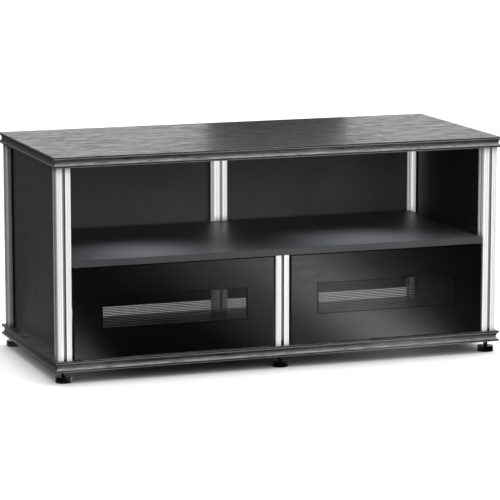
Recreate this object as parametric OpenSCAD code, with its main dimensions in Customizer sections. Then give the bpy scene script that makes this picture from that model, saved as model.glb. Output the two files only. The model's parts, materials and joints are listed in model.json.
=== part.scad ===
// Low media cabinet. Two moulded panels are held apart by slotted aluminium
// posts, with a full-width shelf in the middle, two doors with perforated
// windows below it and six levelling feet.
// Millimetres. The origin is on the floor under the middle of the cabinet,
// the doors face -Y, +X is to the right of a person facing them, +Z is up.

/* [Cabinet] */
// Width of the top and bottom panels
panel_w = 1124; // [1000:1:1300]
// Depth of the top and bottom panels
panel_d = 498; // [440:1:600]
// Thickness of the top and bottom panels
panel_t = 25.4; // [24:0.1:28]
// Length of the full-height posts, which is the clear height inside
post_len = 453.2; // [400:0.1:600]
// Height of the bottom panel above the floor
stand_h = 27; // [25:0.5:30]

/* [Moulded edge] */
// Height of the lip above the cove
lip_top = 5; // [4:0.1:6]
// Height of the lip below the cove
lip_bottom = 4.4; // [4:0.1:6]
// Depth of the cove
cove_depth = 5.5; // [3:0.1:6]

/* [Posts] */
// Side of the square post
post_s = 35; // [35:0.5:38]
// Distance of a post's axis from the panel edges
post_inset = 25; // [24:0.5:30]
// Radius of the post's corners
post_r = 4; // [2:0.1:5]
// Width of the slot in each face
slot_w = 7; // [7:0.1:7.6]
// Depth of the slot
slot_deep = 8; // [8:0.1:8.5]
// Width of the slot behind its lips
slot_wide = 12; // [12:0.1:13]
// Thickness of the slot's lips
slot_lip = 2.5; // [2:0.1:2.5]

/* [Shelf] */
// Thickness of the shelf
shelf_t = 16; // [16:0.5:22]
// Gap between the shelf's ends and the posts
shelf_gap = 3.5; // [3.5:0.1:5]
// Thickness of the band along the shelf's front edge
band_t = 1; // [0.5:0.1:2]

/* [Side and back panels] */
// Thickness of the side panels
side_t = 5; // [4:0.5:5]
// Thickness of the back panels
back_t = 3; // [2.5:0.1:3]
// Height of the cable gap under the back panels
cable_gap = 26.6; // [10:0.1:60]

/* [Doors] */
// Thickness of a door
door_t = 14; // [14:0.5:16]
// Gap between a door and the posts beside it
door_gap = 3.25; // [3:0.05:5]
// Gap above and below a door
door_gap_z = 2.5; // [2.5:0.1:4]
// Width of the window in a door
window_w = 360; // [200:1:380]
// Height of the window in a door
window_h = 76; // [50:1:120]
// Distance between the centres of the mesh holes in a row
mesh_pitch = 8; // [8:0.5:14]
// Width of the bar between two mesh holes
mesh_bar = 3.4; // [2.5:0.1:4]
// Distance of the pivot from the door's edge
pivot_inset = 9; // [8:0.5:12]

/* [Feet] */
// Diameter of a foot's pad
pad_d = 38.5; // [30:0.5:44]
// Height of a foot's pad
pad_h = 12; // [10:0.5:14]

/* [Hidden] */
$fn = 64;

// Clearances
run = 0.05;                                   // around parts that turn or slide, on the radius
seat = 0.05;                                  // around parts fixed in wood, on the radius
past = 1;                                     // how far a cut runs past the face it starts from
drill_room = 0.5;                             // free depth at the end of a blind hole

// Heights
z_low = stand_h;                              // underside of the bottom panel
z_deck = z_low + panel_t;                     // top of the bottom panel
z_roof = z_deck + post_len;                   // underside of the top panel
z_shelf = z_deck + (post_len - shelf_t) / 2;  // underside of the shelf

// Posts and their faces
post_x = panel_w / 2 - post_inset;
post_y = panel_d / 2 - post_inset;
half = post_s / 2;
y_front = -post_y - half;                     // front faces of the front posts
y_rear = post_y + half;                       // back faces of the rear posts
x_bay = post_x - half;                        // inner faces of the corner posts
panel_r = 1.2;                                // rounding of the panel lips
groove_w = 1;                                 // fine grooves beside each slot
groove_deep = 0.4;
groove_at = [8.6, 12.6];
slot_flare = [0.6, 1.6];                      // depth and width of the bevel at a slot's mouth
slot_taper = 1.5;                             // each side of a slot narrows by this to its floor
core_d = 11;                                  // bore along each post
plug_h = 4;                                   // black plugs at the foot of the corner slots
centre_plug_h = 12;
plug_play = 0.15;
plug_back = [1.4, 2];                         // narrowing and thickness of a plug's wide part

// Shelf
shelf_x = x_bay - shelf_gap;                  // half of the shelf's length
shelf_front = y_front + 1;
shelf_rear = post_y - half - 0.5;

// Keys at the shelf's front corners, measured from the axis of the front posts
key_t = 3;
key_from = -13.5;
key_len = 41;
key_margin = 1;                               // above and below the key
key_neck = slot_w - 0.4;
key_hook = [4, slot_w + 2.2];                 // thickness and width behind the slot's lips
key_screw_at = [8, 21];
key_screw_d = 3.4;
key_screw_len = 26;

// Steel angles on the rear posts that carry the shelf's back edge:
// x of the post face and the direction the angle points to
brackets = [[-x_bay, 1], [x_bay, -1], [-half, -1], [half, 1]];
bracket = [25, 50, 20];
bracket_t = 3;
bracket_from = post_y - 43;
bracket_bolt_drop = 12;                       // slot bolt, below the underside of the shelf
bracket_wood_at = [14, 12];                   // wood screw, from the post face and from the front end

// Screws and slot nuts
bolt_d = 5;                                   // button screws that hold in slot nuts
bolt_head = [9.5, 2.6];
bolt_reach = 9.5;
bolt_hole = 5.4;
wood_d = 2.9;                                 // small wood screws
wood_head = [7, 2];
wood_reach = 12;
wood_hole = 3.5;
wood_pilot = 3;
socket_across = 0.62;                         // hexagon socket, as a share of the screw's diameter
socket_floor = 0.4;                           // and of the head's height
nut_h = 4.6;
nut_len = 14;
nut_neck_h = 1.5;
nut_play = 0.3;                               // each side of the nut in its slot

// Side and back panels
panel_in = 6;                                 // how far a side panel goes into a slot
side_half = post_y - half + panel_in;
side_gap_z = 0.5;
gasket_lap = [12, 1.5];                       // width and thickness of the lip on the post's face
gasket_floor = 0.9;
gasket_play = 0.05;
back_x = post_x + 15;
back_gap = 1;                                 // half of the joint between the panels, and at the top
back_from = z_deck + cable_gap;
back_to = z_roof - back_gap;
back_screw_in = 25;                           // from the panels' upper and lower edges
back_hole = 5.6;
washer_d = 18;
washer_t = 1;
back_screws = [
    for (x = [-post_x, 0, post_x], k = [0 : 2])
        [x, back_from + back_screw_in + k * (back_to - back_from - 2 * back_screw_in) / 2]
];

// Doors
door_w = x_bay - half - 2 * door_gap;
door_h = z_shelf - z_deck - 2 * door_gap_z;
door_z = z_deck + door_gap_z;
door_mid_z = door_z + door_h / 2;
door_mid_x = half + door_gap + door_w / 2;
y_door = y_front + 0.5;                       // front face of the doors
y_back_of_door = y_door + door_t;
door_r = 2;                                   // rounding of the upright edges
pivot_x = x_bay - door_gap - pivot_inset;
pivot_y = y_door + door_t / 2;
pin_d = 6;
pin_in_door = 22;
bush_d = 10;
bush_deep = 10;
bush_flange = [14, 2.2];                      // diameter and thickness
pin_in_bush = 8;
pin_end_gap = 0.5;

// Perforated windows
mesh_t = 1;
mesh_lap = 10;                                // cover around the window
mesh_lip = 3;                                 // wood in front of the mesh
mesh_play = 1;                                // around the mesh in its rebate
mesh_row = mesh_pitch / 2;
rebate = [window_w + 2 * (mesh_lap + mesh_play), window_h + 2 * (mesh_lap + mesh_play)];
rebate_deep = door_t - mesh_lip;
retainer_play = 0.5;
retainer_open = [window_w + 4, window_h + 4];
retainer_flange = [rebate[0] + 20, rebate[1] + 20];
retainer_t = 2;                               // thickness of the flange on the door's back
mesh_screw_d = 2.5;
mesh_screw_head = [6, 1.6];
mesh_screw_in = 8;                            // depth of a screw in the wood
mesh_screw_off = 5;                           // from the rebate to a screw's axis
mesh_screws = [
    for (x = [-1, 0, 1], z = [-1, 1])
        [x * (rebate[0] / 2 + mesh_screw_off), z * (rebate[1] / 2 + mesh_screw_off)]
];

// Push latches behind the free edge of each door
latch_x = 45;
latch_z = z_shelf - 14;
latch_size = [16, 52, 20];
latch_front = y_back_of_door + 4;
latch_ear = [36, 18, 2];
latch_screw_at = [13, 26];                    // to each side, and from the latch's front
latch_hole = 3.4;
plunger_d = 8;
plunger_len = 28;
plunger_room = 8;                             // free bore behind the plunger
tip_gap = 0.4;                                // between the plunger and the strike plate
strike_d = 16;
strike_t = 1.2;

// Threaded parts
rod_d = 10;
insert_d = 14;
insert_len = 15;
shelf_insert_len = 12;
sleeve_len = 24;
sleeve_flange = [24, 2];
rod_from = z_low + 16;
rod_end_gap = 1;                              // between a rod's end and the end of its insert
stud_top = z_low + 9;
stud_in_pad = 4;

// Half-section of a foot's pad: a rounded disc with a collar around the stud
pad_rim = pad_d / 2;
pad_section = [
    [0, 0], [pad_rim - 3.5, 0], [pad_rim - 0.6, 2.6], [pad_rim, 4], [pad_rim, pad_h - 3.2],
    [pad_rim - 0.7, pad_h - 1.6], [pad_rim - 2.4, pad_h - 0.6], [9, pad_h + 0.8],
    [7, pad_h + 1.6], [6.4, pad_h + 3.2], [0, pad_h + 3.2]
];

// Colours
ash_black = [0.13, 0.13, 0.14];
aluminium = [0.84, 0.84, 0.85];
zinc = [0.7, 0.7, 0.72];
brass = [0.75, 0.6, 0.3];
black_steel = [0.1, 0.1, 0.1];
black_plastic = [0.04, 0.04, 0.04];

// Names and places of the six axes shared by the posts and the feet
AXES = [
    ["front_left", -post_x, -post_y],
    ["front_centre", 0, -post_y],
    ["front_right", post_x, -post_y],
    ["rear_left", -post_x, post_y],
    ["rear_centre", 0, post_y],
    ["rear_right", post_x, post_y]
];
SHORT_POST = 1;                               // only this one stops at the shelf
SIDES = [["left", -1], ["right", 1]];

// ---------------------------------------------------------------- helpers

// A cylinder whose axis runs along +Y from y = 0
module rod_y(d, len) {
    rotate([-90, 0, 0]) cylinder(d = d, h = len);
}

// A cylinder whose axis runs along +X from x = 0
module rod_x(d, len) {
    rotate([0, 90, 0]) cylinder(d = d, h = len);
}

// A box centred in X and Y that stands on z = 0
module block(w, d, h) {
    translate([-w / 2, -d / 2, 0]) cube([w, d, h]);
}

// A rectangle with rounded corners, centred
module rounded(w, h, r) {
    square([w - 2 * r, h], center = true);
    square([w, h - 2 * r], center = true);
    for (x = [-1, 1], y = [-1, 1])
        translate([x * (w / 2 - r), y * (h / 2 - r)]) circle(r);
}

// What is drawn for the left side, mirrored where side is 1
module on_side(side) {
    mirror([side > 0 ? 1 : 0, 0, 0]) children();
}

// A screw pointing along -Z with its low domed head above z = 0
module button_screw(d, head, len) {
    dome_r = (head[0] * head[0] / 4 + head[1] * head[1]) / (2 * head[1]);
    difference() {
        intersection() {
            cylinder(d = head[0], h = head[1]);
            translate([0, 0, head[1] - dome_r]) sphere(dome_r);
        }
        translate([0, 0, head[1] * socket_floor])
            cylinder(d = d * socket_across, h = head[1], $fn = 6);
    }
    translate([0, 0, -len]) cylinder(d = d, h = len);
}

// A nut that fills the wide part of a slot; the slot opens along +Z and runs along Y
module slot_nut() {
    wide = slot_wide / 2 - nut_play;
    narrow = wide - slot_taper * nut_h / (slot_deep - slot_lip);
    difference() {
        translate([0, nut_len / 2, -slot_lip]) rotate([90, 0, 0]) linear_extrude(nut_len) {
            polygon([[-narrow, -nut_h], [narrow, -nut_h], [wide, 0], [-wide, 0]]);
            translate([-slot_w / 2 + nut_play, 0]) square([slot_w - 2 * nut_play, nut_neck_h]);
        }
        translate([0, 0, -slot_deep]) cylinder(d = bolt_d + 2 * run, h = slot_deep);
    }
}

// ----------------------------------------------------- top and bottom panel

// Cross-section of a moulded panel that stands on y = 0
module panel_section(len) {
    cove_h = panel_t - lip_top - lip_bottom;
    cove_r = (cove_h * cove_h / 4 + cove_depth * cove_depth) / (2 * cove_depth);
    difference() {
        translate([0, panel_t / 2]) rounded(len, panel_t, panel_r);
        for (side = [-1, 1])
            translate([side * (len / 2 + cove_r - cove_depth), lip_bottom + cove_h / 2])
                circle(cove_r, $fn = 96);
    }
}

module moulded_panel() {
    intersection() {
        rotate([90, 0, 0])
            linear_extrude(panel_d, center = true) panel_section(panel_w);
        rotate([90, 0, 90])
            linear_extrude(panel_w, center = true) panel_section(panel_d);
    }
}

module top_panel() {
    color(ash_black) translate([0, 0, z_roof]) difference() {
        moulded_panel();
        for (i = [0 : len(AXES) - 1])
            if (i != SHORT_POST)
                translate([AXES[i][1], AXES[i][2], -past])
                    cylinder(d = insert_d + 2 * seat, h = past + insert_len + drill_room);
    }
}

module bottom_panel() {
    color(ash_black) difference() {
        translate([0, 0, z_low]) moulded_panel();
        for (a = AXES) translate([a[1], a[2], z_low - past]) {
            cylinder(d = insert_d + 2 * seat, h = panel_t + 2 * past);
            cylinder(d = sleeve_flange[0] + 2 * seat, h = sleeve_flange[1] + past);
        }
        for (side = [-1, 1])
            translate([side * pivot_x, pivot_y, z_deck - bush_deep])
                cylinder(d = bush_d + 2 * seat, h = bush_deep + past);
    }
}

// -------------------------------------------------------------------- posts

// Half of a slot and its mirror image; the slot opens along +X
module slot_shape() {
    floor_x = half - slot_deep;
    lip_x = half - slot_lip;
    for (side = [0, 1]) mirror([0, side])
        polygon([
            [half + past, 0], [half + past, slot_w / 2 + slot_flare[1]],
            [half - slot_flare[0], slot_w / 2], [lip_x, slot_w / 2], [lip_x, slot_wide / 2],
            [floor_x, slot_wide / 2 - slot_taper], [floor_x, 0]
        ]);
}

module post_section() {
    difference() {
        rounded(post_s, post_s, post_r);
        circle(d = core_d);
        for (a = [0 : 90 : 270]) rotate(a) {
            slot_shape();
            for (at = groove_at, side = [-1, 1])
                translate([half, side * at])
                    square([2 * groove_deep, groove_w], center = true);
        }
    }
}

module post(i) {
    len = i == SHORT_POST ? z_shelf - z_deck : post_len;
    color(aluminium)
        translate([AXES[i][1], AXES[i][2], z_deck]) linear_extrude(len) post_section();
}

// A plug in the foot of a slot whose mouth is at y = 0
module slot_plug(h) {
    translate([0, slot_lip / 2, 0]) block(slot_w - 2 * plug_play, slot_lip, h);
    translate([0, slot_lip + plug_back[1] / 2 - plug_play, 0])
        block(slot_wide - plug_back[0], plug_back[1], h);
}

module slot_plugs() {
    color(black_plastic) for (i = [0 : 2])
        translate([AXES[i][1], y_front + 2 * plug_play, z_deck])
            slot_plug(i == SHORT_POST ? centre_plug_h : plug_h);
}

// -------------------------------------------------------------------- shelf

module shelf() {
    color([0.05, 0.05, 0.06]) difference() {
        translate([-shelf_x, shelf_front + band_t, z_shelf])
            cube([2 * shelf_x, shelf_rear - shelf_front - band_t, shelf_t]);
        translate([0, -post_y, z_shelf - past])
            cylinder(d = insert_d + 2 * seat, h = past + shelf_insert_len + drill_room);
        for (side = [-1, 1]) on_side(side) {
            translate([-pivot_x, pivot_y, z_shelf - past])
                cylinder(d = bush_d + 2 * seat, h = bush_deep + past);
            for (at = key_screw_at)
                translate([-shelf_x - past, at - post_y, z_shelf + shelf_t / 2])
                    rod_x(wood_hole, past + key_screw_len);
            for (dx = [-1, 1])
                translate([
                    dx * latch_screw_at[0] - latch_x,
                    latch_front + latch_screw_at[1],
                    z_shelf - past
                ]) cylinder(d = wood_pilot, h = wood_reach - past);
        }
        for (p = brackets)
            translate([
                p[0] + p[1] * bracket_wood_at[0],
                bracket_from + bracket_wood_at[1],
                z_shelf - past
            ]) cylinder(d = wood_pilot, h = wood_reach - past);
    }
}

module shelf_edge_band() {
    color([0.2, 0.2, 0.21])
        translate([-shelf_x, shelf_front, z_shelf]) cube([2 * shelf_x, band_t, shelf_t]);
}

// Zinc keys screwed to the shelf's front corners; each hooks into a post's slot
module shelf_keys() {
    neck = shelf_gap + slot_lip;
    key_h = shelf_t - 2 * key_margin;
    color(zinc) for (side = [-1, 1]) on_side(side)
        translate([-shelf_x, -post_y, z_shelf + key_margin]) difference() {
            union() {
                translate([-key_t, key_from, 0]) cube([key_t, key_len, key_h]);
                translate([-neck / 2, 0, 0]) block(neck, key_neck, key_h);
                translate([-neck - key_hook[0] / 2, 0, 0]) block(key_hook[0], key_hook[1], key_h);
            }
            for (at = key_screw_at) translate([-key_t, at, key_h / 2]) {
                translate([-past, 0, 0]) rod_x(wood_hole, key_t + 2 * past);
                rotate([0, 90, 0]) cylinder(d1 = 2 * wood_hole, d2 = wood_hole, h = wood_hole / 2);
            }
        }
}

// Countersunk screws through the keys into the shelf's ends
module shelf_key_screws() {
    color(zinc) for (side = [-1, 1], at = key_screw_at) on_side(side)
        translate([-shelf_x - key_t, at - post_y, z_shelf + shelf_t / 2]) {
            rotate([0, 90, 0]) cylinder(d1 = 2 * key_screw_d, d2 = key_screw_d, h = key_screw_d / 2);
            rod_x(key_screw_d, key_screw_len);
        }
}

module shelf_brackets() {
    color(black_steel) for (p = brackets)
        translate([p[0], bracket_from, z_shelf - bracket[2]]) mirror([p[1] < 0 ? 1 : 0, 0, 0])
            difference() {
                union() {
                    cube([bracket_t, bracket[1], bracket[2]]);
                    translate([0, 0, bracket[2] - bracket_t])
                        cube([bracket[0], bracket[1], bracket_t]);
                }
                translate([-past, post_y - bracket_from, bracket[2] - bracket_bolt_drop])
                    rod_x(bolt_hole, bracket_t + 2 * past);
                translate([bracket_wood_at[0], bracket_wood_at[1], bracket[2] - bracket_t - past])
                    cylinder(d = wood_hole, h = bracket_t + 2 * past);
            }
}

module bracket_screws() {
    color(black_steel) for (p = brackets)
        translate([p[0] + p[1] * bracket_t, post_y, z_shelf - bracket_bolt_drop])
            rotate([0, p[1] * 90, 0]) button_screw(bolt_d, bolt_head, bolt_reach);
}

module bracket_slot_nuts() {
    color(zinc) for (p = brackets)
        translate([p[0], post_y, z_shelf - bracket_bolt_drop])
            rotate([0, p[1] * 90, 0]) rotate(90) slot_nut();
}

module bracket_wood_screws() {
    color(black_steel) for (p = brackets)
        translate([
            p[0] + p[1] * bracket_wood_at[0],
            bracket_from + bracket_wood_at[1],
            z_shelf - bracket_t
        ]) rotate([180, 0, 0]) button_screw(wood_d, wood_head, wood_reach);
}

// --------------------------------------------------- side and back panels

module side_panel(side) {
    color([0.16, 0.16, 0.17])
        translate([side * post_x - side_t / 2, -side_half, z_deck + side_gap_z])
            cube([side_t, 2 * side_half, post_len - 2 * side_gap_z]);
}

// A rubber channel that lines a slot and laps over the post's face.
// The slot's mouth is at y = 0 and the panel comes out along +Y.
module gasket_section() {
    difference() {
        union() {
            translate([-slot_w / 2 + gasket_play, -panel_in - gasket_floor])
                square([slot_w - 2 * gasket_play, panel_in + gasket_floor]);
            translate([-gasket_lap[0] / 2, 0]) square(gasket_lap);
        }
        translate([-side_t / 2, -panel_in]) square([side_t, panel_in + gasket_lap[1] + past]);
    }
}

module side_gaskets(side) {
    color([0.02, 0.02, 0.02]) for (end = [0, 1]) mirror([0, end, 0])
        translate([side * post_x, -post_y + half, z_deck])
            linear_extrude(post_len) gasket_section();
}

module back_panel(side) {
    color([0.1, 0.1, 0.11]) difference() {
        translate([side > 0 ? back_gap : -back_x, y_rear, back_from])
            cube([back_x - back_gap, back_t, back_to - back_from]);
        for (p = back_screws)
            translate([p[0], y_rear - past, p[1]]) rod_y(back_hole, back_t + 2 * past);
    }
}

module back_panel_washers() {
    color(zinc) for (p = back_screws)
        translate([p[0], y_rear + back_t, p[1]]) difference() {
            rod_y(washer_d, washer_t);
            translate([0, -past, 0]) rod_y(bolt_hole, washer_t + 2 * past);
        }
}

module back_panel_screws() {
    color(zinc) for (p = back_screws)
        translate([p[0], y_rear + back_t + washer_t, p[1]])
            rotate([-90, 0, 0]) button_screw(bolt_d, bolt_head, bolt_reach);
}

module back_slot_nuts() {
    color(zinc) for (p = back_screws)
        translate([p[0], y_rear, p[1]]) rotate([-90, 0, 0]) slot_nut();
}

// ---------------------------------------------------------- rods and nuts

module tie_rod(i, top) {
    translate([AXES[i][1], AXES[i][2], rod_from]) cylinder(d = rod_d, h = top - rod_from);
}

module tie_rods() {
    color(zinc) for (i = [0 : len(AXES) - 1])
        if (i != SHORT_POST) tie_rod(i, z_roof + insert_len - rod_end_gap);
}

module short_tie_rod() {
    color(zinc) tie_rod(SHORT_POST, z_shelf + shelf_insert_len - rod_end_gap);
}

module threaded_insert(len) {
    difference() {
        cylinder(d = insert_d, h = len);
        translate([0, 0, -past]) cylinder(d = rod_d + 2 * run, h = len + 2 * past);
    }
}

module top_inserts() {
    color(brass) for (i = [0 : len(AXES) - 1])
        if (i != SHORT_POST)
            translate([AXES[i][1], AXES[i][2], z_roof]) threaded_insert(insert_len);
}

module shelf_insert() {
    color(brass) translate([AXES[SHORT_POST][1], AXES[SHORT_POST][2], z_shelf])
        threaded_insert(shelf_insert_len);
}

// Flanged sleeve nuts in the bottom panel: rod from above, foot from below
module sleeve_nuts() {
    color(zinc) for (a = AXES) translate([a[1], a[2], z_low]) difference() {
        union() {
            cylinder(d = insert_d, h = sleeve_len);
            cylinder(d = sleeve_flange[0], h = sleeve_flange[1]);
        }
        translate([0, 0, -past]) cylinder(d = rod_d + 2 * run, h = sleeve_len + 2 * past);
    }
}

// -------------------------------------------------------------------- doors

// A flat shape around the middle of the left door's window, from y to y + t
module on_window(y, t) {
    translate([-door_mid_x, y + t, door_mid_z]) rotate([90, 0, 0]) linear_extrude(t) children();
}

module door_panel(side) {
    color([0.06, 0.06, 0.06]) on_side(side) difference() {
        translate([-door_mid_x, pivot_y, door_z])
            linear_extrude(door_h) rounded(door_w, door_t, door_r);
        on_window(y_door - past, door_t + 2 * past) square([window_w, window_h], center = true);
        on_window(y_door + mesh_lip, rebate_deep + past) square(rebate, center = true);
        for (z = [door_z - past, door_z + door_h - pin_in_door])
            translate([-pivot_x, pivot_y, z]) cylinder(d = pin_d, h = pin_in_door + past);
        translate([-latch_x, y_back_of_door - strike_t, latch_z])
            rod_y(strike_d + 2 * seat, strike_t + past);
        for (p = mesh_screws)
            on_window(y_back_of_door - mesh_screw_in, mesh_screw_in + past)
                translate(p) circle(d = mesh_screw_d);
    }
}

// Diamond holes in staggered rows, kept clear of the sheet's border
module mesh_holes() {
    r = (mesh_pitch - mesh_bar * sqrt(2)) / 2;
    cols = floor((window_w - 2 * r) / mesh_pitch);
    rows = floor((window_h - 2 * r) / mesh_row);
    for (j = [0 : rows]) {
        odd = j % 2;
        for (i = [0 : cols - odd])
            translate([
                (i - (cols - odd) / 2) * mesh_pitch,
                (j - rows / 2) * mesh_row
            ]) rotate(45) square(r * sqrt(2), center = true);
    }
}

module door_mesh(side) {
    color([0.05, 0.05, 0.05]) on_side(side) on_window(y_door + mesh_lip, mesh_t) difference() {
        square([window_w + 2 * mesh_lap, window_h + 2 * mesh_lap], center = true);
        mesh_holes();
    }
}

// The frame behind the mesh: its rim fills the rebate and its flange is screwed to the door's back
module mesh_retainer(side) {
    rim = rebate - 2 * [retainer_play, retainer_play];
    color(black_plastic) on_side(side) difference() {
        union() {
            on_window(y_door + mesh_lip + mesh_t, rebate_deep - mesh_t) square(rim, center = true);
            on_window(y_back_of_door, retainer_t) square(retainer_flange, center = true);
        }
        on_window(y_door, door_t + retainer_t + past) square(retainer_open, center = true);
        for (p = mesh_screws)
            on_window(y_back_of_door - past, retainer_t + 2 * past)
                translate(p) circle(d = mesh_screw_d + 2 * run);
    }
}

module mesh_screws(side) {
    color([0.05, 0.05, 0.05]) on_side(side) for (p = mesh_screws)
        translate([-door_mid_x + p[0], y_back_of_door + retainer_t, door_mid_z + p[1]])
            rotate([-90, 0, 0])
                button_screw(mesh_screw_d, mesh_screw_head, mesh_screw_in + retainer_t);
}

module pivot_pins(side) {
    color(zinc) on_side(side)
        for (z = [z_deck - pin_in_bush, door_z + door_h - pin_in_door])
            translate([-pivot_x, pivot_y, z])
                cylinder(d = pin_d, h = pin_in_bush + door_gap_z + pin_in_door);
}

// Flanged nylon bushes in the bottom panel and in the shelf
module pivot_bush() {
    difference() {
        union() {
            translate([0, 0, -bush_deep]) cylinder(d = bush_d, h = bush_deep);
            cylinder(d = bush_flange[0], h = bush_flange[1]);
        }
        translate([0, 0, -pin_in_bush - pin_end_gap])
            cylinder(d = pin_d + 2 * run, h = pin_end_gap + pin_in_bush + bush_flange[1] + past);
    }
}

module pivot_bushes() {
    color(black_plastic) for (side = [-1, 1]) {
        translate([side * pivot_x, pivot_y, z_deck]) pivot_bush();
        translate([side * pivot_x, pivot_y, z_shelf]) mirror([0, 0, 1]) pivot_bush();
    }
}

module strike_plate(side) {
    color(zinc) on_side(side)
        translate([-latch_x, y_back_of_door - strike_t, latch_z]) rod_y(strike_d, strike_t);
}

// ------------------------------------------------------------- push latches

module latch_bodies() {
    color(black_plastic) for (side = [-1, 1])
        translate([side * latch_x, latch_front, 0]) difference() {
            translate([0, 0, z_shelf]) mirror([0, 0, 1]) {
                translate([0, latch_size[1] / 2, 0])
                    block(latch_size[0], latch_size[1], latch_size[2]);
                translate([0, latch_screw_at[1], 0])
                    block(latch_ear[0], latch_ear[1], latch_ear[2]);
            }
            translate([0, -past, latch_z])
                rod_y(plunger_d + 2 * run, past + plunger_len + plunger_room);
            for (dx = [-1, 1])
                translate([dx * latch_screw_at[0], latch_screw_at[1], z_shelf - latch_ear[2] - past])
                    cylinder(d = latch_hole, h = latch_ear[2] + 2 * past);
        }
}

module latch_screws() {
    color(zinc) for (side = [-1, 1], dx = [-1, 1])
        translate([
            side * latch_x + dx * latch_screw_at[0],
            latch_front + latch_screw_at[1],
            z_shelf - latch_ear[2]
        ]) rotate([180, 0, 0]) button_screw(wood_d, wood_head, wood_reach - past);
}

// The magnet tip rests just off the door's strike plate
module latch_plunger(side) {
    color([0.55, 0.55, 0.57])
        translate([side * latch_x, y_back_of_door + tip_gap, latch_z])
            rod_y(plunger_d, plunger_len);
}

// --------------------------------------------------------------------- feet

module foot_pad(i) {
    color([0.03, 0.03, 0.03]) translate([AXES[i][1], AXES[i][2], 0]) difference() {
        rotate_extrude($fn = 96) polygon(pad_section);
        translate([0, 0, stud_in_pad]) cylinder(d = rod_d, h = pad_h);
    }
}

module foot_stud(i) {
    color(black_steel) translate([AXES[i][1], AXES[i][2], stud_in_pad])
        cylinder(d = rod_d, h = stud_top - stud_in_pad);
}

// -------------------------------------------------------------------- model

top_panel();
bottom_panel();
shelf();
shelf_edge_band();
back_panel_screws();
back_panel_washers();
back_slot_nuts();
tie_rods();
short_tie_rod();
top_inserts();
shelf_insert();
sleeve_nuts();
shelf_brackets();
bracket_screws();
bracket_slot_nuts();
bracket_wood_screws();
shelf_keys();
shelf_key_screws();
slot_plugs();
pivot_bushes();
latch_bodies();
latch_screws();

for (i = [0 : len(AXES) - 1]) {
    post(i);
    foot_pad(i);
    foot_stud(i);
}

for (s = SIDES) {
    side_panel(s[1]);
    side_gaskets(s[1]);
    back_panel(s[1]);
    door_panel(s[1]);
    door_mesh(s[1]);
    mesh_retainer(s[1]);
    mesh_screws(s[1]);
    pivot_pins(s[1]);
    strike_plate(s[1]);
    latch_plunger(s[1]);
}
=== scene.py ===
import json
import math

import bpy
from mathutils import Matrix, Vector


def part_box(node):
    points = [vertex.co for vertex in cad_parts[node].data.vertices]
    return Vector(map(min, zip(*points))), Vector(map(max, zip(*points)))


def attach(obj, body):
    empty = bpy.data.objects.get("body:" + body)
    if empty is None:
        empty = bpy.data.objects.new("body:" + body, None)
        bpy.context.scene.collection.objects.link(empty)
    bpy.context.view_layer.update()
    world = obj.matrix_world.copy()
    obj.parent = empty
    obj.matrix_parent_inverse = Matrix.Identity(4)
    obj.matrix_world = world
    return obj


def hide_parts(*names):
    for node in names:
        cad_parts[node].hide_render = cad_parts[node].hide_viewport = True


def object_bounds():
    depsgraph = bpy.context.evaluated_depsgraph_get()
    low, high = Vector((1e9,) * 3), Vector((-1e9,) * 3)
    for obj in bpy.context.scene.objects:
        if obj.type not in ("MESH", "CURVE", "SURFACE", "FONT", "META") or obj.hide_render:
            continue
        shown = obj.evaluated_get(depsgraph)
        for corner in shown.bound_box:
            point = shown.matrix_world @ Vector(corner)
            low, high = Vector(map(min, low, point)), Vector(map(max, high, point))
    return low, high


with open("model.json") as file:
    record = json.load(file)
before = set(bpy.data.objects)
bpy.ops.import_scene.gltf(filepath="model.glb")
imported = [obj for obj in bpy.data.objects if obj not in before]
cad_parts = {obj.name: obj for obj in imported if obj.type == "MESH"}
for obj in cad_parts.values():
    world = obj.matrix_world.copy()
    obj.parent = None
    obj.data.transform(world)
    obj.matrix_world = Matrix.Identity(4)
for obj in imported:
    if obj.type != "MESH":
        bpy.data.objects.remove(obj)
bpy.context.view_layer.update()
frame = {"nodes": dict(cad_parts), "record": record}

nodes = frame["nodes"]

# ------------------------------------------------------------------ sizes (metres)

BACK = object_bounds()[1].y
FLOOR_SIZE = 60.0

# Bands on the moulded edge of the top and the bottom panel, above the panel's underside: black
# lines, painted highlights below them where the gloss of the lips would shine, and a painted
# highlight on the foot of the cove. Then how far the lines and the cove's highlight fade, and how
# far its upper limit wanders.
BLACK_LINES = [(0.0023, 0.0047), (0.0226, 0.0254)]
LIP_HIGHLIGHTS = [(0.0004, 0.0019), (0.0202, 0.0223)]
COVE_HIGHLIGHT = (0.0048, 0.0125)
LINE_FADE = 0.00025
COVE_FADE = 0.003
COVE_WAVE = 0.0035

# The levelling feet: the chamfers of the pad's rim, the collar around the stud, the sides of a
# round, and the angle in degrees above which a turned edge stays sharp.
PAD_FOOT = 0.0006
PAD_SHOULDER = 0.0008
COLLAR_RADIUS = 0.0052
COLLAR_HEIGHT = 0.0016
TURNED_SIDES = 72
TURNED_SHARP = 30.0

# The perforated sheets in the doors: the pitch of the holes in a row and of the rows, the holes'
# diameter, the plain border and how far the field is pressed forward.
MESH_PITCH = 0.0045
MESH_ROW = MESH_PITCH * math.sqrt(3.0) / 2
MESH_HOLE = 0.0019
MESH_BORDER = 0.0109
MESH_FIELD = 0.0021

# Boards whose edges are eased, by how much, and from what angle in degrees.
EASED = {"shelf_edge_band": 0.0004, "shelf": 0.0004}
for board in ("side_panel", "back_panel", "door_panel"):
    for side in ("left", "right"):
        EASED[board + "_" + side] = 0.0006
EASE_ANGLE = 60.0

# The camera stands at the left front, as in the photograph. Its values are a least-squares fit
# to the corners of the panels in the photo.
CAMERA_PLACE = (-2.2556, -6.3455, 1.3985)
CAMERA_YAW = 19.597
CAMERA_PITCH = 9.717
CAMERA_LENS = 200.5
CAMERA_SENSOR = 36.0
CAMERA_CLIP = (0.1, 200.0)

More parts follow.
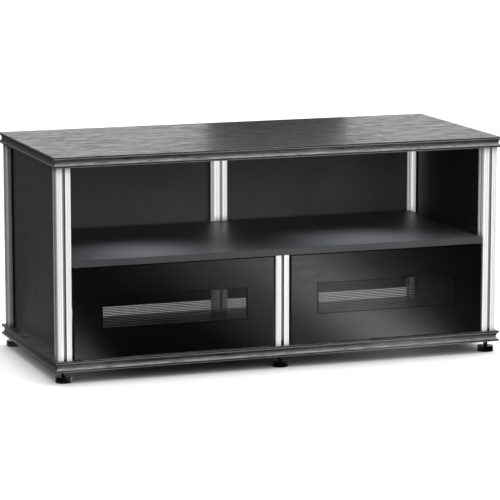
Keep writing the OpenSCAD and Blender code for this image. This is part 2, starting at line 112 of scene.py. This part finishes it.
# Radiance of the dome at the horizon, at the zenith and below the horizon, and its shares ahead
# of and behind the cabinet: for the light itself, and as it shows in gloss. The share changes
# between two values of the direction's Y.
DOME_LIGHT = (0.03, 2.05, 0.10, 1.5, 0.75)
DOME_GLOSS = (1.55, 1.20, 0.012, 0.04, 1.0)
DOME_TURN = (-0.9, 0.4)

# The soft stripes of light that the glossy doors mirror, lying on the floor in front of them:
# the middle, the radii at which it has faded to a third, the turn in degrees and the radiance.
# Their cards reach GLOW_REACH radii out, and what is fainter than GLOW_CUT is left out. The
# middles, radii and turns are rounded from a least-squares fit to the photo's door brightness.
GLOWS = [
    ((0.58, -2.20), (0.31, 1.6), 7.0, 0.95),
    ((-0.53, 0.33), (0.075, 1.7), 5.5, 2.15),
    ((0.11, -0.25), (0.13, 1.8), 6.4, 0.48),
    ((0.33, -0.15), (0.13, 3.4), 7.8, 2.85),
]
GLOW_REACH = 2.2
GLOW_CUT = 0.10

# Tints, and the values between which most of a noise lies.
PLAIN = (1.0, 1.0, 1.0)
COOL = (0.97, 0.99, 1.05)
NOISE_SPAN = (0.3, 0.7)

# Linear levels on a moulded edge (its painted highlights, black lines and sealed ends), of the
# posts (and of the painted shade deep in their slots, and the reach over which it darkens) and of
# the floor.
COVE_HIGHLIGHT_LEVEL = 0.155
LIP_HIGHLIGHT_LEVEL = 0.115
BLACK_LEVEL = 0.001
SEALED_LEVELS = (0.024, 0.032)
POST_LEVELS = (0.79, 0.84)
SLOT_SHADE_LEVEL = 0.04
SLOT_SHADE_REACH = 0.016
FLOOR_LEVEL = 0.60

# The soft lights: the place, the point they face, the size and the radiance. The two on the
# shelf are narrow beams, their spread in degrees.
OVERHEAD = ((0.9, -0.9, 3.2), (0.3, -0.3, 0.3), (3.0, 2.4), 7.0)
FRONT = ((1.0, -4.6, 1.1), (0.0, 0.0, 0.35), (2.6, 1.6), 12.5)
SHELF_GLOWS = [((x, -0.55, 1.0), (x, -0.165, 0.287), (0.22, 0.05), 17.0) for x in (-0.33, 0.22)]
SHELF_GLOW_SPREAD = 20.0

# The floor's own light: the way it travels, its strength and its apparent width in degrees.
FLOOR_LIGHT = ((-0.45, -0.50, -0.75), 5.0, 90.0)

# The black card behind the cabinet that makes the dark band on the top: place, size and turn.
TOP_FLAG = ((0.275, BACK + 0.30, 0.95), (0.39, 0.90), (math.radians(90.0), 0.0, 0.0))

# Lights for the aluminium alone, all of one size and facing one point: the name, the place, the
# radiance and the posts it lights.
KEY_AIM = (0.0, 0.0, 0.3)
KEY_SIZE = (1.4, 1.4)
POST_KEYS = [
    ("outer_key", (0.0, -5.0, 0.6), 30.0, ["post_front_left"]),
    ("centre_key", (0.0, -5.0, 0.6), 28.0, ["post_front_centre"]),
    ("right_key", (-1.6, -4.7, 0.6), 37.0, ["post_front_right"]),
    ("inner_key", (-2.3, -4.5, 0.6), 76.0, ["post_rear_centre", "post_rear_right"]),
]


# ------------------------------------------------------------------ node graphs

class Graph:
    """A node tree and short ways of adding to it."""

    def __init__(self, tree):
        self.tree = tree
        self.coordinates = tree.nodes.new("ShaderNodeTexCoord")

    def place(self, output="Object"):
        """The point on the object, in the frame's own metres, or another of its coordinates."""
        return self.coordinates.outputs[output]

    def add(self, kind, inputs=None, out=0, **settings):
        """A new node with its settings and inputs; the answer is one of its outputs."""
        node = self.tree.nodes.new(kind)
        for key, value in settings.items():
            setattr(node, key, value)
        for key, value in (inputs or {}).items():
            self.set(node.inputs[key], value)
        return node.outputs[out]

    def set(self, socket, value):
        """Links an output to a socket, or sets the socket's own value."""
        if isinstance(value, bpy.types.NodeSocket):
            self.tree.links.new(value, socket)
        else:
            socket.default_value = value

    def math(self, operation, a, b=0.0):
        """One sum on one or two values."""
        return self.add("ShaderNodeMath", {0: a, 1: b}, operation=operation)

    def product(self, *factors):
        """All the factors multiplied together."""
        answer = factors[0]
        for factor in factors[1:]:
            answer = self.math("MULTIPLY", answer, factor)
        return answer

    def stretched(self, scale, offset=(0.0, 0.0, 0.0)):
        """The object's coordinates, multiplied axis by axis."""
        return self.add("ShaderNodeMapping", {
            "Vector": self.place(), "Scale": scale, "Location": offset})

    def noise(self, scale, detail=3.0, roughness=0.55, distortion=0.0, offset=(0.0, 0.0, 0.0)):
        """Noise with its own scale along each axis, in waves a metre."""
        return self.add("ShaderNodeTexNoise", {
            "Vector": self.stretched(scale, offset), "Scale": 1.0, "Detail": detail,
            "Roughness": roughness, "Distortion": distortion})

    def remap(self, value, low, high, to_low=0.0, to_high=1.0):
        """Takes low to to_low and high to to_high, and stays between those."""
        return self.add("ShaderNodeMapRange", {
            "Value": value, "From Min": low, "From Max": high,
            "To Min": to_low, "To Max": to_high})

    def mix(self, factor, a, b):
        """The colour a, b or between."""
        return self.add("ShaderNodeMix", {0: factor, 6: a, 7: b}, out=2, data_type="RGBA")

    def bump(self, height, distance, normal=None):
        """The normal of a relief of that depth, on top of another normal if one is given."""
        inputs = {"Height": height, "Distance": distance, "Strength": 1.0}
        if normal is not None:
            inputs["Normal"] = normal
        return self.add("ShaderNodeBump", inputs)


class Look(Graph):
    """A material, with the nodes that feed its Principled shader."""

    def __init__(self, name):
        self.material = bpy.data.materials.new(name)
        self.material.use_nodes = True
        super().__init__(self.material.node_tree)
        self.shader = self.tree.nodes["Principled BSDF"]

    def shade(self, **values):
        """Sets the shader's inputs by name, with _ for a space."""
        for key, value in values.items():
            self.set(self.shader.inputs[key.replace("_", " ")], value)


def grey(level, tint=PLAIN):
    """An opaque colour from one linear level and a tint."""
    return (level * tint[0], level * tint[1], level * tint[2], 1.0)


# ------------------------------------------------------------------ materials

def fibres(g, along, length, width, **more):
    """Noise drawn out along one axis, as fibres of that length and width."""
    scale = [1.0 / width] * 3
    scale[along] = 1.0 / length
    return g.noise(tuple(scale), **more)


def veneer(name, along, dark, light, rough, figure, pores, relief, wave, sheen, edges=None):
    """Black-stained open-pored ash. along is the axis of the grain, 0 for X and 2 for Z. The
    stain runs from dark to light, the sooner the smaller figure is, and rough changes with it by
    sheen. pores is how black the open pores are. relief and wave are the depths of the fine and
    the broad grain."""
    g = Look(name)
    broad = fibres(g, along, length=0.055, width=0.013, detail=3.0, roughness=0.6, distortion=1.0)
    bands = fibres(g, along, length=0.050, width=0.005, detail=3.0, roughness=0.65, distortion=0.8)
    fine = fibres(g, along, length=0.020, width=0.0012, detail=3.0, roughness=0.65)
    pore = fibres(g, along, length=0.012, width=0.0008, detail=1.0, offset=(3.1, 1.7, 5.3))
    open_pore = g.remap(pore, 0.60, 0.72)
    streak = g.math("ADD", g.product(bands, 0.25),
                    g.math("ADD", g.product(broad, 0.55), g.product(fine, 0.2)))
    tone = g.remap(streak, 0.5 - figure, 0.5 + figure)
    stained = g.mix(tone, grey(dark), grey(light, COOL))
    colour = g.mix(g.product(open_pore, pores), stained, grey(dark * 0.25))
    roughness = g.remap(streak, 0.38, 0.62, rough + sheen, rough - sheen)
    normal = g.bump(g.math("SUBTRACT", streak, g.product(open_pore, 0.35 * pores)), relief)
    normal = g.bump(broad, wave, normal=normal)
    if edges:
        colour, roughness, normal = edges(g, colour, roughness, normal)
    g.shade(Base_Color=colour, Roughness=roughness, Normal=normal)
    return g.material


def between(g, value, low, high):
    """1 where the height lies from low to high, fading at both ends."""
    return g.product(g.remap(value, low - LINE_FADE, low + LINE_FADE),
                     g.remap(value, high + LINE_FADE, high - LINE_FADE))


def moulded(base):
    """The machined edge of a panel whose underside is at the height base: black lines run along
    the lips, painted highlights lie below them and on the foot of the cove, and the ends are
    sealed smooth."""
    def edges(g, colour, roughness, normal):
        height = g.math("SUBTRACT", g.add("ShaderNodeSeparateXYZ", {0: g.place()}, out="Z"), base)
        wave = fibres(g, 0, length=0.050, width=0.010, detail=3.0, roughness=0.6, distortion=1.5)
        lifted = g.math("ADD", height, g.remap(wave, *NOISE_SPAN, -COVE_WAVE, COVE_WAVE))
        across = g.add("ShaderNodeSeparateXYZ", {0: g.place("Normal")}, out="X")
        up = g.add("ShaderNodeSeparateXYZ", {0: g.place("Normal")}, out="Z")
        upright = g.remap(g.math("ABSOLUTE", up), 0.97, 0.90)
        end = g.remap(g.math("ABSOLUTE", across), 0.40, 0.55)

        # Painted highlight: the lower part of the cove faces up and forward, and it is made
        # lighter, with a wavy upper limit, where its gloss would mirror the light above.
        foot, crest = COVE_HIGHLIGHT
        cove = g.product(g.remap(lifted, crest + COVE_FADE, crest - COVE_FADE),
                         g.remap(height, foot - 0.0004, foot + 0.0008),
                         g.remap(wave, 0.38, 0.60, 0.35, 1.0))
        colour = g.mix(g.product(cove, upright), colour, grey(COVE_HIGHLIGHT_LEVEL))
        # The lines by the lips are painted highlights standing in for the gloss on the eased
        # arrises; the black lines are plain black bands.
        for lines, level in ((LIP_HIGHLIGHTS, LIP_HIGHLIGHT_LEVEL), (BLACK_LINES, BLACK_LEVEL)):
            for low, high in lines:
                patches = g.noise((14.0, 14.0, 60.0), detail=2.0, offset=(low, 0.0, 0.0))
                broken = g.remap(patches, 0.34, 0.44, 0.60, 1.0)
                band = g.product(between(g, height, low, high), broken, upright)
                colour = g.mix(band, colour, grey(level))

        cloud = g.remap(g.noise((30.0, 30.0, 30.0)), *NOISE_SPAN, *SEALED_LEVELS)
        sealed = g.add("ShaderNodeCombineColor", {"Red": cloud, "Green": cloud, "Blue": cloud})
        colour = g.mix(end, colour, sealed)
        roughness = g.math("ADD", g.product(roughness, g.math("SUBTRACT", 1.0, end)),
                           g.product(end, 0.5))
        outward = g.add("ShaderNodeCombineXYZ", {0: across})
        outward = g.add("ShaderNodeVectorMath", {0: outward}, operation="NORMALIZE")
        normal = g.add("ShaderNodeMix", {0: g.product(end, 0.85), 4: normal, 5: outward},
                       out=1, data_type="VECTOR")
        return colour, roughness, normal
    return edges


def aluminium():
    """Satin anodised extrusion with the die's fine lines along Z, and painted shade deep in its
    slots.
    """
    g = Look("satin_aluminium")
    lines = g.noise((900.0, 900.0, 1.5), roughness=0.7)
    cloud = g.noise((22.0, 22.0, 5.0))
    bright = g.mix(g.remap(lines, *NOISE_SPAN), grey(POST_LEVELS[0]), grey(POST_LEVELS[1]))
    # Painted shade: the colour falls towards the dark slot level where ambient occlusion finds the
    # slot walls close by, standing in for the shade deep in the slots.
    openness = g.add("ShaderNodeAmbientOcclusion", {"Distance": SLOT_SHADE_REACH}, out="AO", samples=6)
    colour = g.mix(g.math("POWER", openness, 1.6), grey(SLOT_SHADE_LEVEL), bright)
    roughness = g.math("ADD", g.remap(lines, *NOISE_SPAN, 0.34, 0.44),
                       g.remap(cloud, *NOISE_SPAN, -0.03, 0.03))
    g.shade(Base_Color=colour, Roughness=roughness, Metallic=0.3,
            Normal=g.bump(lines, 0.000012))
    return g.material


def laminate(name, level, rough, gloss=0.5, tint=COOL):
    """A smooth black or charcoal board with a fine pearl texture."""
    g = Look(name)
    pearl = g.noise((1400.0, 1400.0, 1400.0), detail=2.0)
    cloud = g.noise((6.0, 6.0, 6.0), detail=4.0)
    colour = g.mix(g.remap(cloud, *NOISE_SPAN), grey(level * 0.85, tint), grey(level * 1.15, tint))
    roughness = g.remap(cloud, *NOISE_SPAN, rough - 0.03, rough + 0.03)
    g.shade(Base_Color=colour, Roughness=roughness, Specular_IOR_Level=gloss,
            Normal=g.bump(pearl, 0.00002))
    return g.material


def rubber(name, level, rough, gloss=0.5):
    """Matt black rubber or moulded plastic."""
    g = Look(name)
    skin = g.noise((2200.0, 2200.0, 2200.0))
    patch = g.noise((60.0, 60.0, 60.0))
    colour = g.mix(g.remap(patch, *NOISE_SPAN), grey(level * 0.8), grey(level * 1.2))
    roughness = g.remap(patch, *NOISE_SPAN, rough - 0.06, rough + 0.06)
    g.shade(Base_Color=colour, Roughness=roughness, Specular_IOR_Level=gloss,
            Normal=g.bump(skin, 0.00003))
    return g.material


def metal(name, low, high, rough, tint=PLAIN, spangle=90.0):
    """Plated or bare metal with a faint mottle."""
    g = Look(name)
    mottle = g.noise((spangle, spangle, spangle), detail=4.0, roughness=0.7)
    scratch = g.noise((1500.0, 1500.0, 60.0), detail=2.0)
    colour = g.mix(g.remap(mottle, 0.35, 0.65), grey(low, tint), grey(high, tint))
    roughness = g.remap(mottle, *NOISE_SPAN, rough - 0.07, rough + 0.07)
    g.shade(Base_Color=colour, Roughness=roughness, Metallic=1.0,
            Normal=g.bump(scratch, 0.00002))
    return g.material


def panel_wood(name):
    """The open-grained veneer of the top or the bottom panel, with its moulded edge."""
    return veneer("black_ash_" + name, along=0, dark=0.004, light=0.058, rough=0.36, figure=0.10,
                  pores=0.6, relief=0.0008, wave=0.0018, sheen=0.16,
                  edges=moulded(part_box(name)[0].z))


LOOKS = {
    "door_wood": veneer("black_ash_doors", along=0, dark=0.0006, light=0.0022, rough=0.17,
                        figure=0.2, pores=0.2, relief=0.00004, wave=0.0, sheen=0.04),
    "side_wood": veneer("charcoal_sides", along=2, dark=0.022, light=0.032, rough=0.47,
                        figure=0.2, pores=0.15, relief=0.00010, wave=0.0, sheen=0.08),
    "shelf_board": laminate("shelf_laminate", 0.034, 0.42, gloss=0.4, tint=(0.95, 0.99, 1.07)),
    "edge_band": laminate("edge_band", 0.036, 0.45),
    "back_board": laminate("back_board", 0.047, 0.5, tint=PLAIN),
    "post_aluminium": aluminium(),
    "gasket_rubber": rubber("gasket_rubber", 0.002, 0.6, gloss=0.05),
    "zinc_steel": metal("zinc_plate", 0.50, 0.68, 0.32),
    "black_steel": metal("black_steel", 0.03, 0.06, 0.4),
    "key_zinc": metal("cast_zinc", 0.42, 0.55, 0.42, spangle=200.0),
    "brass": metal("brass", 0.55, 0.75, 0.3, tint=(1.0, 0.78, 0.42)),
    "black_plastic": rubber("black_plastic", 0.004, 0.45, gloss=0.2),
    "mesh_steel": rubber("mesh_coating", 0.0015, 0.20, gloss=0.45),
    "foot_rubber": rubber("foot_plastic", 0.0018, 0.30, gloss=0.12),
}


def dress():
    """Gives every CAD node the look of its own material slot."""
    for part in frame["record"]["subparts"]:
        name, slot = part["node"], part["material_slot"]
        mesh = nodes[name].data
        mesh.materials.clear()
        mesh.materials.append(panel_wood(name) if slot == "panel_wood" else LOOKS[slot])


# ------------------------------------------------------------------ shapes

def piece(name, points, faces, look):
    """A new object with one material."""
    mesh = bpy.data.meshes.new(name)
    mesh.from_pydata(points, [], faces)
    mesh.validate()
    thing = bpy.data.objects.new(name, mesh)
    bpy.context.scene.collection.objects.link(thing)
    mesh.materials.append(look)
    return thing


def perforated(side):
    """A thin steel sheet with staggered rows of round holes, in place of the coarse CAD one.
    Its field is pressed forward into the door's opening and its flange stays in the rebate."""
    low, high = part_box("door_mesh_" + side)
    wide, tall = high.x - low.x, high.z - low.z
    columns = int((wide - 2 * MESH_BORDER) / MESH_PITCH)
    rows = int((tall - 2 * MESH_BORDER) / MESH_ROW)
    start = ((low.x + high.x - columns * MESH_PITCH) / 2, (low.z + high.z - rows * MESH_ROW) / 2)
    points, faces, places = [], [], {}

    def point(x, z, layer, raised=MESH_FIELD):
        """The number of a point on the front (0) or the back (1), added when it is new."""
        key = (round(x, 7), round(z, 7), layer, raised)
        if key not in places:
            places[key] = len(points)
            points.append((x, (low.y if layer == 0 else high.y) - raised, z))
        return places[key]

    def lattice(i, j):
        """A place in the grid of half pitches."""
        return (start[0] + i * MESH_PITCH / 2, start[1] + j * MESH_ROW / 2)

    def both_layers(outline):
        """A face on the front and the same on the back."""
        faces.append([point(x, z, 0) for x, z in outline])
        faces.append([point(x, z, 1) for x, z in reversed(outline)])

    def wall(a, b):
        """A side of a hole, from the front to the back."""
        faces.append([point(*a, 1), point(*b, 1), point(*b, 0), point(*a, 0)])

    around = [(0, 0), (1, 0), (2, 0), (2, 1), (2, 2), (1, 2), (0, 2), (0, 1)]
    turns = [math.radians(45.0 * k - 135.0) for k in range(len(around))]
    hole = [(MESH_HOLE / 2 * math.cos(turn), MESH_HOLE / 2 * math.sin(turn)) for turn in turns]
    for row in range(rows):
        shift = row % 2
        if shift:
            for i in (0, 2 * columns - 1):
                both_layers([lattice(i + a, 2 * row + b)
                             for a, b in ((0, 0), (1, 0), (1, 1), (1, 2), (0, 2), (0, 1))])
        for column in range(columns - shift):
            i, j = 2 * column + shift, 2 * row
            middle = lattice(i + 1, j + 1)
            outer = [lattice(i + a, j + b) for a, b in around]
            inner = [(middle[0] + x, middle[1] + z) for x, z in hole]
            for k in range(len(around)):
                n = (k + 1) % len(around)
                both_layers([outer[k], outer[n], inner[n], inner[k]])
                wall(inner[k], inner[n])

    bottom = [lattice(i, 0) for i in range(2 * columns + 1)]
    right = [lattice(2 * columns, j) for j in range(2 * rows + 1)]
    top = [lattice(i, 2 * rows) for i in range(2 * columns, -1, -1)]
    left = [lattice(0, j) for j in range(2 * rows, -1, -1)]
    corners = [(low.x, low.z), (high.x, low.z), (high.x, high.z), (low.x, high.z)]
    for k, edge in enumerate((bottom, right, top, left)):
        outer = [corners[k], corners[(k + 1) % 4]]
        inner = list(reversed(edge))
        for layer in (0, 1):
            step = [point(x, z, layer) for x, z in inner]
            foot = [point(x, z, layer, 0.0) for x, z in (inner[0], inner[-1])]
            flange = [point(x, z, layer, 0.0) for x, z in outer] + foot
            riser = [foot[1], foot[0]] + step
            faces.extend([flange, riser] if layer == 0 else [flange[::-1], riser[::-1]])
        rim = [point(x, z, layer, 0.0) for layer in (0, 1) for x, z in outer]
        faces.append([rim[0], rim[2], rim[3], rim[1]])

    sheet = piece("mesh_sheet_" + side, points, faces, LOOKS["mesh_steel"])
    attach(sheet, side + "_door")
    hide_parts("door_mesh_" + side)


def foot_pad(place):
    """A turned pad with a straight rim, in place of the CAD one on the same axis."""
    low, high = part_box("foot_pad_" + place)
    middle, rim, top = (low + high) / 2, (high.x - low.x) / 2, high.z
    shoulder = top - COLLAR_HEIGHT
    section = [(0.0, low.z), (rim - PAD_FOOT, low.z), (rim, low.z + PAD_FOOT),
               (rim, shoulder - PAD_SHOULDER), (rim - PAD_SHOULDER, shoulder),
               (COLLAR_RADIUS, shoulder), (COLLAR_RADIUS, top), (0.0, top)]
    points, faces, rings = [], [], []
    for radius, height in section:
        sides = TURNED_SIDES if radius else 1
        rings.append([len(points) + k % sides for k in range(TURNED_SIDES + 1)])
        for k in range(sides):
            turn = 2.0 * math.pi * k / TURNED_SIDES
            points.append((middle.x + radius * math.cos(turn),
                           middle.y + radius * math.sin(turn), height))
    for under, over in zip(rings, rings[1:]):
        for k in range(TURNED_SIDES):
            corners = [under[k], under[k + 1], over[k + 1], over[k]]
            faces.append(list(dict.fromkeys(corners)))
    pad = piece("pad_" + place, points, faces, LOOKS["foot_rubber"])
    pad.data.shade_smooth()
    pad.data.set_sharp_from_angle(angle=math.radians(TURNED_SHARP))
    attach(pad, "foot_" + place)
    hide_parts("foot_pad_" + place)


def ease_edges():
    """Rounds the sharp arrises that catch the light."""
    for name, width in EASED.items():
        bevel = nodes[name].modifiers.new("eased", "BEVEL")
        bevel.width = width
        bevel.segments = 2
        bevel.limit_method = "ANGLE"
        bevel.angle_limit = math.radians(EASE_ANGLE)
        bevel.harden_normals = True


# ------------------------------------------------------------------ floor, light and camera

def pale_floor():
    """A pale floor, white in the picture. It neither shows in the cabinet nor lights it: the
    dome's part below the horizon does that instead."""
    bpy.ops.mesh.primitive_plane_add(size=FLOOR_SIZE, location=(0.0, 0.0, 0.0))
    floor = bpy.context.object
    floor.name = "floor"
    g = Look("white_paper")
    g.shade(Base_Color=grey(FLOOR_LEVEL), Roughness=0.9, Specular_IOR_Level=0.0)
    floor.data.materials.append(g.material)
    floor.visible_diffuse = False
    floor.visible_glossy = False
    return floor


def softbox(name, place, aim, size, radiance, glossy=True):
    """A rectangular light of the given radiance that the camera doesn't see."""
    data = bpy.data.lights.new(name, "AREA")
    data.shape = "RECTANGLE"
    data.size, data.size_y = size
    data.energy = radiance * math.pi * size[0] * size[1]
    light = bpy.data.objects.new(name, data)
    light.location = place
    light.rotation_euler = (Vector(aim) - Vector(place)).to_track_quat("-Z", "Y").to_euler()
    light.visible_camera = False
    light.visible_glossy = glossy
    bpy.context.scene.collection.objects.link(light)
    return light


def group(name, members):
    """A collection of CAD nodes for a light to be linked to."""
    found = bpy.data.collections.new(name)
    for member in members:
        found.objects.link(nodes[member])
    return found


def card(name, place, size, turn):
    """A rectangle that only reflections show. Its own coordinates run from -1 to 1."""
    bpy.ops.mesh.primitive_plane_add(size=2.0, location=place, rotation=turn)
    sheet = bpy.context.object
    sheet.name = name
    sheet.scale = (size[0] / 2, size[1] / 2, 1.0)
    for ray in ("camera", "diffuse", "transmission", "shadow", "volume_scatter"):
        setattr(sheet, "visible_" + ray, False)
    return sheet


def glow(name, place, radii, angle, radiance):
    """A soft patch of light on the floor in front, seen only in the gloss of the doors."""
    sheet = card(name, place, (2 * GLOW_REACH * radii[0], 2 * GLOW_REACH * radii[1]),
                 (0.0, 0.0, math.radians(angle)))
    g = Look(name)
    spread = g.add("ShaderNodeVectorMath", {0: g.stretched((GLOW_REACH, GLOW_REACH, 0.0))},
                   out="Value", operation="LENGTH")
    fall = g.math("EXPONENT", g.product(spread, spread, -1.0))
    fall = g.remap(fall, GLOW_CUT, 1.0)
    light = g.add("ShaderNodeEmission", {"Strength": g.product(fall, radiance)})
    clear = g.add("ShaderNodeBsdfTransparent")
    both = g.add("ShaderNodeAddShader", {0: light, 1: clear})
    g.set(g.tree.nodes["Material Output"].inputs["Surface"], both)
    g.tree.nodes.remove(g.shader)
    sheet.data.materials.append(g.material)


def flag(name, place, size, turn):
    """A black card that cuts the white surroundings out of a reflection."""
    sheet = card(name, place, size, turn)
    g = Look(name)
    g.shade(Base_Color=grey(0.0), Roughness=1.0, Specular_IOR_Level=0.0)
    sheet.data.materials.append(g.material)


def sky(g, low, high, down, front, back):
    """Radiance that goes with the height of the direction: low at the horizon, high at the zenith,
    and down below the horizon. front and back are its shares ahead of and behind the cabinet."""
    up = g.add("ShaderNodeSeparateXYZ", {0: g.place("Generated")}, out="Z")
    along = g.add("ShaderNodeSeparateXYZ", {0: g.place("Generated")}, out="Y")
    above = g.remap(up, 0.0, 1.0, low, high)
    level = g.add("ShaderNodeMix", {0: g.math("LESS_THAN", up, 0.0), 2: above, 3: down})
    share = g.remap(along, *DOME_TURN, front, back)
    return g.add("ShaderNodeBackground", {"Strength": g.product(level, share)})


def surroundings():
    """White where the camera looks past the floor, and a soft dome for the light itself."""
    world = bpy.data.worlds.new("studio")
    bpy.context.scene.world = world
    world.use_nodes = True
    world.cycles.sampling_method = "NONE"
    g = Graph(world.node_tree)
    white = g.tree.nodes["Background"]
    g.set(white.inputs["Color"], grey(1.0))
    g.set(white.inputs["Strength"], 1.0)
    rays = g.tree.nodes.new("ShaderNodeLightPath")
    dome = g.add("ShaderNodeMixShader", {
        0: rays.outputs["Is Glossy Ray"], 1: sky(g, *DOME_LIGHT), 2: sky(g, *DOME_GLOSS)})
    choice = g.add("ShaderNodeMixShader", {
        0: rays.outputs["Is Camera Ray"], 1: dome, 2: white.outputs[0]})
    g.set(g.tree.nodes["World Output"].inputs["Surface"], choice)


def floor_light(floor):
    """A broad high light for the floor alone, shaded by the bottom panel and the feet only."""
    travel, strength, width = FLOOR_LIGHT
    data = bpy.data.lights.new("floor_light", "SUN")
    data.energy = strength
    data.angle = math.radians(width)
    light = bpy.data.objects.new("floor_light", data)
    light.rotation_euler = Vector(travel).to_track_quat("-Z", "Y").to_euler()
    bpy.context.scene.collection.objects.link(light)
    lit = bpy.data.collections.new("floor_only")
    lit.objects.link(floor)
    light.light_linking.receiver_collection = lit
    light.light_linking.blocker_collection = group("plinth", [
        name for name in nodes if name == "bottom_panel" or name.startswith("foot_")])


def studio(floor):
    """All the lights. Each part of the cabinet has its own, as in the retouched photograph."""
    surroundings()
    floor_light(floor)
    whole = group("the_cabinet", nodes)
    posts = [name for name in nodes if name.startswith("post_")]
    boards = group("all_but_posts", [name for name in nodes if name not in posts])
    shading = group("post_shades", posts + ["door_panel_left", "door_panel_right"])

    overhead = softbox("overhead", *OVERHEAD)
    overhead.light_linking.receiver_collection = whole
    front = softbox("front", *FRONT, glossy=False)
    front.light_linking.receiver_collection = boards

    for name, place, radiance, lit in POST_KEYS:
        key = softbox(name, place, KEY_AIM, KEY_SIZE, radiance, glossy=False)
        key.light_linking.receiver_collection = group("lit_by_" + name, lit)
        key.light_linking.blocker_collection = shading

    shelf = group("shelf_only", ["shelf"])
    for settings in SHELF_GLOWS:
        spot = softbox("shelf_glow", *settings, glossy=False)
        spot.data.spread = math.radians(SHELF_GLOW_SPREAD)
        spot.light_linking.receiver_collection = shelf
        spot.light_linking.blocker_collection = shading

    for number, ((x, y), radii, angle, radiance) in enumerate(GLOWS, 1):
        glow("door_glow_%d" % number, (x, y, 0.001 * number), radii, angle, radiance)
    flag("top_flag", *TOP_FLAG)


def camera():
    """The photograph's own point of view."""
    data = bpy.data.cameras.new("camera")
    data.sensor_width = CAMERA_SENSOR
    data.lens = CAMERA_LENS
    data.clip_start, data.clip_end = CAMERA_CLIP
    cam = bpy.data.objects.new("camera", data)
    cam.location = CAMERA_PLACE
    cam.rotation_euler = (math.radians(90.0 - CAMERA_PITCH), 0.0, math.radians(-CAMERA_YAW))
    bpy.context.scene.collection.objects.link(cam)
    bpy.context.scene.camera = cam


camera()
dress()
for door_side in ("left", "right"):
    perforated(door_side)
for node in nodes:
    if node.startswith("foot_pad_"):
        foot_pad(node.removeprefix("foot_pad_"))
ease_edges()
studio(pale_floor())
bpy.context.scene.view_settings.view_transform = "Standard"
